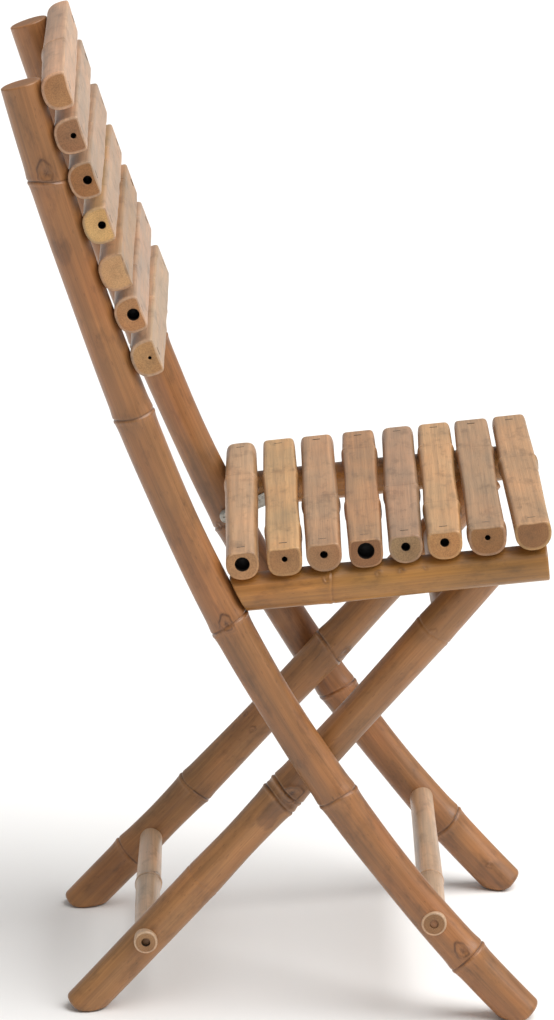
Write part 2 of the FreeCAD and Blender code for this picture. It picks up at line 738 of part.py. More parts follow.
back_staples = []
for index, traits in enumerate(BACK_CULMS, 1):
    rise = radius("pole_diameter") - size("back_scribe_depth") + traits[0] * radius("slat_diameter")
    ends = []
    ups = []
    for side, shift in zip(("right", "left"), traits[4]):
        station = size("top_slat_drop") + (index - 1) * size("back_slat_pitch")
        slope, point = pole_at(side, station - shift * size("slat_diameter"))
        ends.append(at(point + pole_out(slope) * rise, SIDES[side] * POLE_PLANE))
        ups.append(pole_out(slope))
    up = (ups[0] + ups[1]).normalize()
    label = f"back_slat_{index}"
    back_staples += slat(label, traits, "back_slat_thickness", ends[0], ends[1], up, poles)

for label, shapes in (("seat_staples", seat_staples), ("back_staples", back_staples)):
    group = doc.addObject("Part::Feature", label)
    group.Shape = Part.makeCompound(shapes)
    finish(group, label, FreeCAD.Placement())

doc.recompute()

# Nothing is written unless every object is sound.
for item in doc.Objects:
    for state in ("Invalid", "Error"):
        if state in item.State:
            raise RuntimeError(f"{item.Label} is {item.State}")
for label, item in parts.items():
    if item.Shape.isNull() or not item.Shape.isValid():
        raise RuntimeError(f"{label} has no valid shape")

os.makedirs("parts", exist_ok=True)
for label, item in parts.items():
    item.Shape.exportStep(f"parts/{label}.step")

box = Part.makeCompound([item.Shape for item in parts.values()]).optimalBoundingBox(True, False)
print(f"{len(parts)} parts, x {box.XMin:.2f} to {box.XMax:.2f}, y {box.YMin:.2f} to {box.YMax:.2f}")
print(f"z {box.ZMin:.2f} to {box.ZMax:.2f}, floor to top of the poles")
print(f"leg pivot x {LEG_PIVOT.x:.3f} z {LEG_PIVOT.z:.3f}, seat pivot x {SEAT_PIVOT.x:.3f} z {SEAT_PIVOT.z:.3f}")
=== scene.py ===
"""Bamboo folding chair: the culms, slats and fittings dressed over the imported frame."""

import json
import math

import bpy
import numpy as np
from mathutils import Matrix


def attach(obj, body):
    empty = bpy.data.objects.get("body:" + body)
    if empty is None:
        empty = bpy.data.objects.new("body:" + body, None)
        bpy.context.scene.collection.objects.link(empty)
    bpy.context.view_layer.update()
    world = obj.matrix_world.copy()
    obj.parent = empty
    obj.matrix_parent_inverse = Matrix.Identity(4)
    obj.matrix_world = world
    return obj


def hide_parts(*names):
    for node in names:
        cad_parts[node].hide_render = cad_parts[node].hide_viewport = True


bl_info = {
    "name": "Bamboo Folding Chair",
    "version": (1, 0, 0),
    "blender": (4, 5, 0),
    "location": "View3D > Sidebar > Bamboo Chair",
    "description": "Dresses the folding chair's frame with bamboo culms and steel fittings",
    "category": "Object",
}

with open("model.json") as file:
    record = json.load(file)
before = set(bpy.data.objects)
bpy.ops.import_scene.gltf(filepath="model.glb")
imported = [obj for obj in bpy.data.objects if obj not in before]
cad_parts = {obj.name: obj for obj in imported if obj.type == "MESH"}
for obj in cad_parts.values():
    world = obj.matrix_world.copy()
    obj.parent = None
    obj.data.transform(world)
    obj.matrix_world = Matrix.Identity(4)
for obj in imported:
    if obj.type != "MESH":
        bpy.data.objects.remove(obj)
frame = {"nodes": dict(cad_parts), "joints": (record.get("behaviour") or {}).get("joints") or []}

# Lengths are in millimetres, as a maker would measure them, until a mesh is written.
MM = 0.001
ACROSS = np.array([0.0, 1.0, 0.0])


def srgb(code):
    """Linear colour of an sRGB hex value."""
    parts = np.array([int(code[i : i + 2], 16) for i in (0, 2, 4)]) / 255
    return np.where(parts <= 0.04045, parts / 12.92, ((parts + 0.055) / 1.055) ** 2.4)


def side_view(x, z):
    return np.stack([x, np.zeros_like(x), z], -1)


# The chair's lines, as the frame has them: slopes are measured from the vertical.
SIDES = {"right": -1, "left": 1}
POLE_FOOT = side_view(221.6, 0.0)
FOOT, BEND = np.radians((43.9, 22.1))
LOWER = 1540.0
UPPER = {"right": 3000.0, "left": 4800.0}
UPPER_LENGTH = {"right": 387.5, "left": 381.5}
LEG_BEND = 12360.0
LEG_TURN = {"right": math.radians(-0.5), "left": math.radians(0.3)}
LEG_SPARE = 12.0
POLE_R, LEG_R, RAIL_R = 18.0, 17.5, 17.0
POLE_Y, LEG_Y, RAIL_Y = 184.5, 147.5, 182.5
# Height of the sawn corner over the floor at each foot, and how far a foot's rim is worn round
POLE_TOE = 14.0
LEG_TOE = {"right": 14.0, "left": 7.0}
FOOT_EASING = 4.0
SEAT_SLOPE = math.radians(5.5)
SEAT_ALONG = side_view(np.cos(SEAT_SLOPE), np.sin(SEAT_SLOPE))
SEAT_UP = side_view(-np.sin(SEAT_SLOPE), np.cos(SEAT_SLOPE))
PIVOTS = {joint["name"]: np.array(joint["pos_m"]) * 1000 for joint in frame["joints"]}
SEAT_PIVOT, LEG_PIVOT = PIVOTS["seat_fold"], PIVOTS["leg_fold"]
# The rail's axis runs above the seat pivot, and its front end is ahead of it.
RAIL_OVER_PIVOT, RAIL_AHEAD = 8.5, 49
RAIL_FRONT = SEAT_PIVOT + SEAT_UP * RAIL_OVER_PIVOT + SEAT_ALONG * RAIL_AHEAD
RAIL_POLE_GAP = 0.8
# Slats: length, distance from one to the next, thickness, and depth scribed over a carrier
SLAT_LENGTH = 400.0
SEAT_PITCH, SEAT_THICKNESS, SEAT_SCRIBE = 36.15, 26.5, 2
BACK_PITCH, BACK_THICKNESS, BACK_SCRIBE = 41.2, 25, 2.5
FRONT_SLAT_SETBACK, TOP_SLAT_DROP = 15, 13
# Heights of the rungs' axes, the upper one below the seat pivot
FRONT_RUNG_HEIGHT, REAR_RUNG_HEIGHT, UPPER_RUNG_DROP = 95, 69, 47


def out_of_pole(slope):
    return side_view(np.cos(slope), np.sin(slope))


LOWER_CENTRE = POLE_FOOT + out_of_pole(FOOT) * LOWER
BEND_POINT = LOWER_CENTRE - out_of_pole(BEND) * LOWER
POLE_LENGTH = {side: length + LOWER * (FOOT - BEND) for side, length in UPPER_LENGTH.items()}


def pole_path(side):
    """Centre, outward and lengthwise directions at a distance down from the pole's top: two arcs
    that share a tangent, so the slope grows evenly along each."""
    upper, length = UPPER[side], UPPER_LENGTH[side]
    upper_centre = BEND_POINT + out_of_pole(BEND) * upper

    def path(s):
        above = s <= length
        slope = BEND + np.where(above, (s - length) / upper, (s - length) / LOWER)
        out = out_of_pole(slope)
        centre = np.where(above[..., None], upper_centre - out * upper, LOWER_CENTRE - out * LOWER)
        return centre, out, side_view(np.sin(slope), -np.cos(slope))

    return path


def leg_slope(height):
    return math.asin(math.sin(FOOT) - height / LEG_BEND)


PIVOT_SLOPE = leg_slope(SEAT_PIVOT[2])
LEG_TOP = PIVOT_SLOPE - LEG_SPARE / LEG_BEND
LEG_LENGTH = LEG_BEND * (FOOT - LEG_TOP)
LEG_CENTRE = SEAT_PIVOT - side_view(np.cos(PIVOT_SLOPE), -np.sin(PIVOT_SLOPE)) * LEG_BEND


def leg_path(turn):
    """The same for a short leg, one long arc, measured down from its top, that is turned a
    little about the middle between its pivots."""
    middle = (LEG_PIVOT + SEAT_PIVOT) / 2
    spin = np.array([[math.cos(turn), 0, math.sin(turn)], [0, 1, 0], [-math.sin(turn), 0, math.cos(turn)]])

    def path(s):
        slope = LEG_TOP + s / LEG_BEND
        down = side_view(np.cos(slope), -np.sin(slope))
        centre = (LEG_CENTRE + down * LEG_BEND - middle) @ spin.T + middle
        return centre, -down @ spin.T, side_view(-np.sin(slope), -np.cos(slope)) @ spin.T

    return path


def line(start, along, out):
    """Path of a straight culm."""

    def path(s):
        centre = start + s[..., None] * along
        return centre, np.broadcast_to(out, centre.shape), np.broadcast_to(along, centre.shape)

    return path


def at_height(path, length, height):
    """Point of a path at a height, read off a fine row of its points."""
    centre = path(np.linspace(0, length, 4001))[0]
    return np.array([np.interp(-height, -centre[:, 2], centre[:, k]) for k in range(3)])


def rail_reach():
    """Length of the rail to the pole's centre line, by halving, and the pole's slope there."""
    low, high = 0.0, 1000.0
    for _ in range(40):
        middle = (low + high) / 2
        point = RAIL_FRONT - SEAT_ALONG * middle
        pole = at_height(pole_path("right"), POLE_LENGTH["right"], point[2])
        low, high = (low, middle) if point[0] < pole[0] else (middle, high)
    return low, math.asin(math.sin(FOOT) - point[2] / LOWER)


RAIL_LENGTH, RAIL_POLE_SLOPE = rail_reach()


# Each culm's own traits. A node is (distance along the culm, height of its swelling, how much
# lower it sits on the outward side). A knot is (distance, angle in degrees round the culm from
# its front or top, radius, darkness), and so are the stains and the patches of painted shade
# listed with them, whose radius is along the culm.
POLES = {
    "right": {
        "nodes": [(87, 1.1, 3.6), (309, 1.1, 1.2), (515, 1.2, -2.2), (702, 1.1, 1.5), (893, 1.3, 0.0)],
        "knots": [(79, 88, 8, 0.9), (512, 93, 6.5, 1.0), (883, 81, 6.5, 0.95), (779, 89, 2.2, 0.35)],
        "stains_and_shade": [
            (147, 116, 15, 0.75), (175, 60, 40, 0.25), (540, 120, 30, 0.35), (735, 150, 34, 0.35),
            (930, 70, 34, 0.45), (815, 100, 40, 0.2), (430, 60, 60, 0.22), (620, 80, 50, 0.2),
        ],
    },
    "left": {
        "nodes": [(111, 1.0, 0.0), (321, 1.1, 1.0), (513, 1.2, 0.0), (706, 1.2, 2.9), (878, 1.2, -2.2)],
        "knots": [(510, 134, 4, 0.8), (702, -80, 6, 0.8), (935, 72, 3, 0.7), (319, -95, 6.5, 0.8)],
        # On the left pole, the patches at 470, 560 and 650 mm on the inner face, below the seat, are painted
        # shade cast by the seat.
        "stains_and_shade": [(470, 95, 40, 0.45), (560, 90, 60, 0.5), (650, 90, 40, 0.4), (950, 72, 24, 0.5)],
    },
}
LEGS = {
    "right": {
        "nodes": [(91, 0.5, 0.0), (287, 1.1, -1.0), (298, 1.1, -2.0), (402, 0.35, 0.0)],
        "knots": [(284, -96, 8, 1.0), (91, -83, 4, 0.35)],
        "stains_and_shade": [
            (301, -97, 18, 1.0), (318, -101, 12, 0.8), (270, -80, 20, 0.7), (500, -90, 30, 0.2),
            (180, -90, 50, 0.25),
        ],
    },
    "left": {
        "nodes": [(90, 0.8, 0.0), (223, 1.2, -4.0), (412, 1.1, 0.0), (502, 1.1, -1.0)],
        "knots": [(215, -136, 6, 0.9), (330, -84, 3, 0.6), (325, -28, 2.5, 0.6), (404, 100, 6, 0.8)],
        "stains_and_shade": [(236, -110, 22, 0.5), (520, -90, 40, 0.4), (300, -100, 60, 0.25)],
    },
}
RAILS = {
    "right": {
        "nodes": [(192, 0.6, 0.0)],
        "knots": [(150, -60, 2.5, 0.6), (130, -58, 2.5, 0.5), (196, -62, 3, 0.6), (108, -55, 2, 0.4)],
        "stains_and_shade": [(40, -80, 60, 0.3), (250, -90, 40, 0.3)],
    },
    "left": {"nodes": [(154, 0.6, 0.0)], "knots": [(158, 80, 5, 0.7)]},
}
# Slats, rear or top one first: girth, squareness, nodes, bores at the right and left end, how
# far each end is set forwards or upwards, and colours of the skin, planed face and sawn end
SEAT_SLATS = [
    (30.5, 2.2, [(278, 1.0, 1.0)], (13.1, 6.1), (0, -1), "A58159", "C3A17D", "A27E57"),
    (32.0, 2.9, [(84, 0.7, -1.0), (275, 1.0, 0.0)], (5.1, 4.2), (1.3, -1), "A58052", "C6A374", "96724A"),
    (33.0, 2.2, [(170, 1.2, 1.0)], (6.9, 8.9), (0, -1), "9C7957", "B99673", "936E4A"),
    (32.0, 2.9, [(140, 0.9, 0.0), (334, 1.0, 0.0)], (15.0, 5.1), (1, 2), "98704A", "B48E68", "805936"),
    (32.0, 2.2, [(177, 1.1, 2.0)], (8.0, 7.0), (0, 3), "967B5F", "B59476", "8C7351"),
    (32.5, 2.4, [(105, 1.0, 0.0), (314, 1.1, 0.0)], (8.1, 0), (-1.7, 1.7), "AB8657", "CDA679", "A97E4E"),
    (33.5, 2.4, [(16, 0.9, 0.0), (290, 1.3, 2.0)], (5.0, 8.0), (0, 1), "9A795A", "B79775", "89633A"),
    (34.0, 2.2, [(237, 1.4, 3.0)], (0, 6.1), (4, 1), "A58355", "C39E76", "85603B"),
]
BACK_SLATS = [
    (35.0, 2.5, [(168, 1.0, 0.0)], (0, 4.9), (0, 2.6), "B8967A", "CBAB8D", "9F764C"),
    (34.0, 2.6, [(240, 0.9, 0.0)], (5.1, 0), (0, 5.6), "AA8E74", "BBA085", "8D6948"),
    (34.5, 2.5, [(180, 0.9, 0.0)], (7.9, 5.9), (0, 2.6), "A88B70", "B89C80", "8E6338"),
    (34.0, 2.5, [(208, 0.8, 0.0), (272, 0.9, 0.0)], (7.1, 0), (-0.7, 2.6), "AE9169", "BD9F80", "C19D66"),
    (34.0, 2.6, [(324, 0.9, 0.0)], (0, 6.1), (-3.3, 2.6), "A98766", "AF8F6B", "B79267"),
    (34.0, 2.4, [(120, 0.8, 0.0), (320, 0.8, 0.0)], (10.9, 4.1), (-2.6, 5.6), "AB8E73", "BA9D82", "A67B50"),
    (34.5, 2.5, [(164, 1.0, 0.0), (240, 0.8, 0.0)], (3.1, 6.9), (-3, 2.6), "AF9378", "BBA182", "A37E52"),
]
# Rungs: girth, half of the length, nodes, knots, bores, and colours of the skin and sawn end
RUNGS = {
    "front_rung": (24.0, 203.3, [(117, 0.9, 0.0)], [], (8, 8), "C2A586", "8E6A44"),
    "rear_rung": (
        23.0, 170.0, [(163, 1.1, 0.0)], [(170, 60, 6, 1.0), (176, 110, 5, 0.8)], (8, 8), "C2A88B", "96744E",
    ),
    "upper_rung": (24.0, 144.0, [(115, 0.6, 0.0)], [], (0, 0), "9A7A5C", "9A7A5C"),
}


# Surfaces
# Widest distance between rows of a culm's mesh, and columns round it
ROW_STEP = 2.6
COLUMNS = {"pole": 108, "slat": 80, "rung": 64}
BORE_DEPTHS = np.array([0.5, 3, 7, 14])


def smooth_less(value, limit, soft):
    """The smaller of two values, rounded over a soft band where they meet."""
    blend = np.clip(0.5 + 0.5 * (limit - value) / soft, 0, 1)
    return limit + (value - limit) * blend - soft * blend * (1 - blend)


def wander(s, phi, seed, reach, waves=5):
    """Smooth noise round and along a culm: a sum of cosines whose waves fit the circumference."""
    random = np.random.RandomState(seed)
    total = np.zeros(np.broadcast(s, phi).shape)
    for wave in range(1, waves + 1):
        turn, start, pace = random.uniform(-1, 1), random.uniform(0, 2 * math.pi), random.uniform(0.5, 1.5)
        total += np.cos(wave * phi + start + turn * s / reach) * np.cos(pace * s / reach + start * 1.7) / wave
    return total


def hump(distance, width):
    return np.exp(-((distance / width) ** 2))


def stations(length, nodes, knots):
    """Distances along a culm, drawn closer together at its ends, nodes and knots: a density is
    added up along the culm and read back at even counts."""
    fine = np.linspace(0, length, int(length * 5) + 2)
    density = np.full_like(fine, 1 / ROW_STEP)
    for place, _, _ in nodes:
        density += 1.3 * hump(fine - place, 7)
    for place, _, size, _ in knots:
        density += 0.7 * hump(fine - place, size * 1.6)
    for place in (0, length):
        density += 1.2 * hump(fine - place, 4)
    total = np.concatenate([[0], np.cumsum((density[1:] + density[:-1]) / 2 * np.diff(fine))])
    return np.interp(np.linspace(0, total[-1], int(total[-1]) + 2), total, fine)


def knot_polar(s, phi, knot, girth):
    """Distance and direction from a knot's middle, over the skin; the distance is bent a little
    so that no knot is a true circle."""
    across = np.angle(np.exp(1j * (phi - math.radians(knot[1])))) * girth
    down = s - knot[0]
    around = np.arctan2(across, down)
    bent = 1 + 0.13 * np.cos(2 * around + knot[0]) + 0.08 * np.cos(3 * around + knot[1])
    bent = bent + 0.05 * np.cos(7 * around)
    return np.hypot(down * 0.85, across) * bent, around


def node_distance(s, phi, node, seed):
    """Distance below a node's line, which wavers and leans as it goes round the culm."""
    random = np.random.RandomState(seed + int(node[0]))
    waver = 0.7 * np.cos(phi * 2 + random.uniform(0, 6)) + 0.4 * np.cos(phi * 3 + random.uniform(0, 6))
    return s - node[0] - node[2] * np.cos(phi) - waver


def relief(s, phi, radius, traits, length):
    """Radius of the culm's surface: waisted between its nodes, swollen at each with a lip over a
    groove, flattened above a knot where the branch grew, and uneven all round."""
    look = bpy.context.scene.bamboo_culm
    nodes = traits["nodes"]
    knots = traits.get("knots", [])
    edges = np.array([-0.4 * length, *sorted(node[0] for node in nodes), 1.4 * length])
    span = np.searchsorted(edges, s).clip(1, len(edges) - 1)
    share = (s - edges[span - 1]) / (edges[span] - edges[span - 1])
    size = radius - look.waist * np.sin(math.pi * share) ** 2
    size = size + 0.25 * wander(s, phi, traits["seed"], 160, 4)
    for node in nodes:
        apart = node_distance(s, phi, node, traits["seed"])
        size = size + node[1] * (0.75 * hump(apart, 8) + 0.4 * hump(apart - 2.2, 1.3))
        size = size - 0.8 * hump(apart + 0.4, 0.9) * node[1]
    for knot in knots:
        apart, around = knot_polar(s, phi, knot, radius)
        lip = 0.7 * hump(apart - knot[2] * 0.8, knot[2] * 0.25) * (0.6 + 0.4 * np.cos(around + knot[1]))
        size = size + knot[3] * (lip - 0.9 * hump(apart, knot[2] * 0.4))
        turn = np.angle(np.exp(1j * (phi - math.radians(knot[1]))))
        above = np.clip((knot[0] - s) / 20, 0, 1) * np.exp(-np.clip(knot[0] - s, 0, None) / 70)
        size = size - 0.7 * knot[3] * above * hump(turn * radius, 7)
    return size


def paint(s, phi, radius, traits, colours, planed):
    """Colour of the skin: bleached and browned in bands and patches, dark in the grooves of the
    nodes, in the knots and in stains, darkened where patches of painted shade are listed, with
    the paler inner wood where it is planed."""
    skin, face, stain_and_shade = colours
    seed = traits["seed"]
    shade = 1 + 0.08 * wander(s, phi, seed + 5, 60, 6) + 0.05 * wander(s, phi, seed + 6, 18, 8)
    tone = skin * shade[..., None]
    dark = np.zeros_like(shade)
    for index, node in enumerate(traits["nodes"]):
        apart = node_distance(s, phi, node, seed)
        broken = 0.5 + 0.5 * np.tanh(1.8 * wander(s * 3, phi * 2, seed + index, 40, 6))
        line_dark = hump(apart + 0.4, 0.85) * (0.35 + 0.6 * broken) * min(1, node[1] ** 2)
        halo = hump(apart - 4, 10) * 0.25 * broken + hump(apart + 12, 14) * 0.12 * (1 - broken)
        dark = np.maximum(dark, np.maximum(line_dark, halo))
        tone = tone * (1 + 0.10 * hump(apart - 3, 3)[..., None])
    for knot in traits.get("knots", []):
        apart, around = knot_polar(s, phi, knot, radius)
        side = 0.5 + 0.5 * np.cos(around + knot[0])
        ring = hump(apart - knot[2], 0.9) * (0.25 + 0.6 * side)
        ring = np.maximum(ring, hump(apart - knot[2] * 0.68, 0.8) * (0.6 - 0.45 * side))
        core = hump(apart, knot[2] * 0.33) * (0.65 + 0.3 * np.cos(5 * around + knot[0]))
        halo = 0.22 * hump(apart, knot[2] * 1.5)
        dark = np.maximum(dark, knot[3] * np.clip(np.maximum(ring, core) + halo, 0, 1))
    # Stains, and the patches of painted shade listed with them, darken the skin towards the dark colour.
    for stain_or_shade_patch in traits.get("stains_and_shade", []):
        apart, around = knot_polar(s, phi, stain_or_shade_patch, radius * 1.3)
        ragged = 0.12 * wander(s * 3, phi * 2, seed + 9, 30, 6)
        edge = stain_or_shade_patch[2] * (0.75 + 0.25 * np.cos(2 * around + stain_or_shade_patch[0]) + ragged)
        patch = np.clip((edge - apart) / (0.35 * stain_or_shade_patch[2]) + 0.5, 0, 1)
        dark = np.maximum(dark, stain_or_shade_patch[3] * 0.55 * patch**2 * (3 - 2 * patch))
    if planed is not None:
        cut = np.clip(planed, 0, 1)[..., None]
        worn = 1 + 0.05 * wander(s, phi, seed + 7, 50, 4) + 0.03 * wander(s, phi, seed + 8, 15, 6)
        tone = tone * (1 - cut) + face * worn[..., None] * cut
        dark = dark * (1 - 0.5 * cut[..., 0])
    return tone * (1 - dark[..., None]) + stain_and_shade * dark[..., None]


def angles(corner, count):
    """Angles round a culm, with columns along both corners of a planed face."""
    if corner is None:
        return np.linspace(0, 2 * math.pi, count, endpoint=False)
    lead = math.radians(4)
    face = np.linspace(-corner, corner, count // 4)
    back = np.linspace(corner + lead, 2 * math.pi - corner - lead, count - count // 4)
    return np.concatenate([face, back])


def culm(name, path, length, girth, traits, colours, **shape):
    """A closed culm: rows of section points from the centre of one end, out round its sawn face,
    along the skin and in again to the centre of the other end.

    The section is the relief raised to a superellipse, then held under each flat. The culm runs
    from 0 to stop, which may depend on the height over its axis, so that its last end can be cut
    at any slant. The rims are eased by quarter circles, and a bore is a blind, even hole."""
    look = bpy.context.scene.bamboo_culm
    radius = girth / 2
    flats = shape.get("flats", [])
    corner = math.acos(flats[0][1] / radius) if shape.get("planed") else None
    phi = angles(corner, shape["columns"])[None, :]
    rows = stations(length, traits["nodes"], traits.get("knots", []))[:, None]
    square = shape.get("square", 2)

    def section(s, inset):
        size = relief(s, phi, radius, traits, length)
        size = size / (abs(np.cos(phi)) ** square + abs(np.sin(phi)) ** square) ** (1 / square)
        a, b = size * np.cos(phi), size * np.sin(phi)
        cut = np.zeros_like(a)
        for angle, height in flats:
            ca, sa = math.cos(angle), math.sin(angle)
            reach = a * ca + b * sa
            uneven = height + 0.15 * np.sin(s / 37 + traits["seed"]) + 0.12 * np.sin(s / 11)
            held = smooth_less(reach, uneven, shape.get("corner", 1.0))
            cut = np.maximum(cut, np.clip((reach - held) / 0.6, 0, 1))
            a, b = a + (held - reach) * ca, b + (held - reach) * sa
        for place, carrier, height in shape.get("notches", []):
            saddle = height + np.sqrt(np.clip(carrier**2 - (s - place) ** 2, 0, None))
            a = np.where(abs(s - place) < carrier, np.maximum(a, saddle + 0.05), a)
        shrink = 1 - inset / np.maximum(np.hypot(a, b), 0.1)
        return a * shrink, b * shrink, cut

    stop = shape.get("stop", lambda a: np.full_like(a, length))
    high = stop(section(np.full_like(phi, length), 0)[0])
    # Rows within 60 mm of the last end are slid so that they close up on its cut.
    gather = 60 / length
    far = np.clip((rows / length - 1) / gather + 1, 0, 1)
    s = rows + (high - length) * far
    inset = 0
    for ease, distance in ((look.end_easing, s), (shape.get("last_easing", look.end_easing), high - s)):
        side = np.clip(ease - distance, 0, ease)
        inset = inset + ease - np.sqrt(ease**2 - side**2)
    a, b, cut = section(s, inset)
    colour = paint(s, phi, radius, traits, colours[:3], cut if shape.get("planed") else None)
    skin = [a, b, s, colour, np.zeros_like(a)]
    bores = shape.get("bores", (0, 0))
    first = [part[::-1] for part in sawn_end(skin, 0, phi, bores[0], np.zeros_like, colours, traits["seed"])]
    last = sawn_end(skin, -1, phi, bores[1], stop, colours, traits["seed"])
    a, b, s, colour, sawn = (np.concatenate(parts) for parts in zip(first, skin, last))
    centre, out, along = path(s)
    points = centre + a[..., None] * out + b[..., None] * np.cross(along, out) + shape.get("offset", 0)
    grain = np.stack([a, b, s + 97.0 * traits["seed"]], -1)
    return write_mesh(name, points * MM, grain * MM, colour, sawn)


def sawn_end(skin, end, phi, bore, cut_at, colours, seed):
    """Rows from the rim of an end in to its middle or down its bore, in the plane of the cut."""
    rim_a, rim_b = skin[0][end], skin[1][end]
    shares = np.linspace(1, 0, 9)[1:, None]
    if not bore:
        shares = shares[:-1]
    hole_a, hole_b = bore / 2 * np.cos(phi[0]), bore / 2 * np.sin(phi[0])
    a = hole_a + (rim_a - hole_a) * shares
    b = hole_b + (rim_b - hole_b) * shares
    s = cut_at(a)
    out = np.hypot(a, b) / np.maximum(np.hypot(rim_a, rim_b), 0.1)
    spots = wander(out * 30, np.arctan2(b, a), seed + 3 + end, 50, 5)
    bark = 0.6 + 0.4 * wander(out * 0, np.arctan2(b, a), seed + end, 50, 3)
    bark = 0.34 * hump(out - 1, 0.07) * bark
    tone = colours[3] * (1 + 0.07 * spots - bark - 0.12 * hump(out - 0.3, 0.15))[..., None]
    if bore:
        depths = BORE_DEPTHS[:, None] * (1 if end == 0 else -1)
        a = np.concatenate([a, np.repeat(hole_a[None], len(depths), 0)])
        b = np.concatenate([b, np.repeat(hole_b[None], len(depths), 0)])
        s = np.concatenate([s, s[-1:] + depths])
        # The bore's walls are painted shade: they darken with depth to near black at the bottom.
        painted_bore_shade = colours[3] * np.array([0.35, 0.08, 0.02, 0.01])[:, None, None]
        tone = np.concatenate([tone, np.repeat(painted_bore_shade, len(hole_a), 1)])
    return a, b, s, tone, np.ones_like(a)


def write_mesh(name, points, grain, colour, sawn):
    """Closed mesh from rows of points: four-sided faces between rows, and a fan at each end."""
    rows, columns = points.shape[:2]
    flat = points.reshape(-1, 3)
    ends = np.stack([points[0].mean(0), points[-1].mean(0)])
    vertices = np.concatenate([flat, ends])
    index = np.arange(rows * columns).reshape(rows, columns)
    after = np.roll(index, -1, 1)
    quads = np.stack([index[:-1], after[:-1], after[1:], index[1:]], -1).reshape(-1, 4)
    first, last = rows * columns, rows * columns + 1
    start = np.stack([np.full(columns, first), after[0], index[0]], -1)
    stop = np.stack([np.full(columns, last), index[-1], after[-1]], -1)
    mesh = bpy.data.meshes.new(name)
    mesh.from_pydata(vertices.tolist(), [], quads.tolist() + start.tolist() + stop.tolist())
    mesh.polygons.foreach_set("use_smooth", np.ones(len(mesh.polygons), bool))

    def store(label, kind, field, values):
        values = np.concatenate([values.reshape(rows * columns, -1), values[[0, -1]].mean(1)])
        layer = mesh.attributes.new(label, kind, "POINT")
        layer.data.foreach_set(field, np.ascontiguousarray(values, np.float32).ravel())

    store("grain", "FLOAT_VECTOR", "vector", grain)
    store("sawn", "FLOAT", "value", sawn[..., None])
    opaque = np.ones_like(colour[..., :1])
    store("skin", "FLOAT_COLOR", "color", np.concatenate([colour.clip(0, 1), opaque], -1))
    thing = bpy.data.objects.new(name, mesh)
    bpy.context.scene.collection.objects.link(thing)
    return thing


def dress(thing, node, body, material):
    """Give a piece its finish and let it stand for its node."""
    thing.data.materials.append(material)
    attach(thing, body)
    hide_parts(node)


# Materials
def add(tree, kind, links=(), **settings):
    """Add a shader node, set its inputs or properties, and link others into it."""
    item = tree.nodes.new(kind)
    for key, value in settings.items():
        if key in item.bl_rna.properties and key not in item.inputs:
            setattr(item, key, value)
        else:
            item.inputs[key.replace("_", " ")].default_value = value
    for socket, source in dict(links).items():
        tree.links.new(source, item.inputs[socket])
    return item


def new_material(name):
    found = bpy.data.materials.get(name)
    if found:
        return found, None
    made = bpy.data.materials.new(name)
    made.use_nodes = True
    made.node_tree.nodes.clear()
    return made, made.node_tree


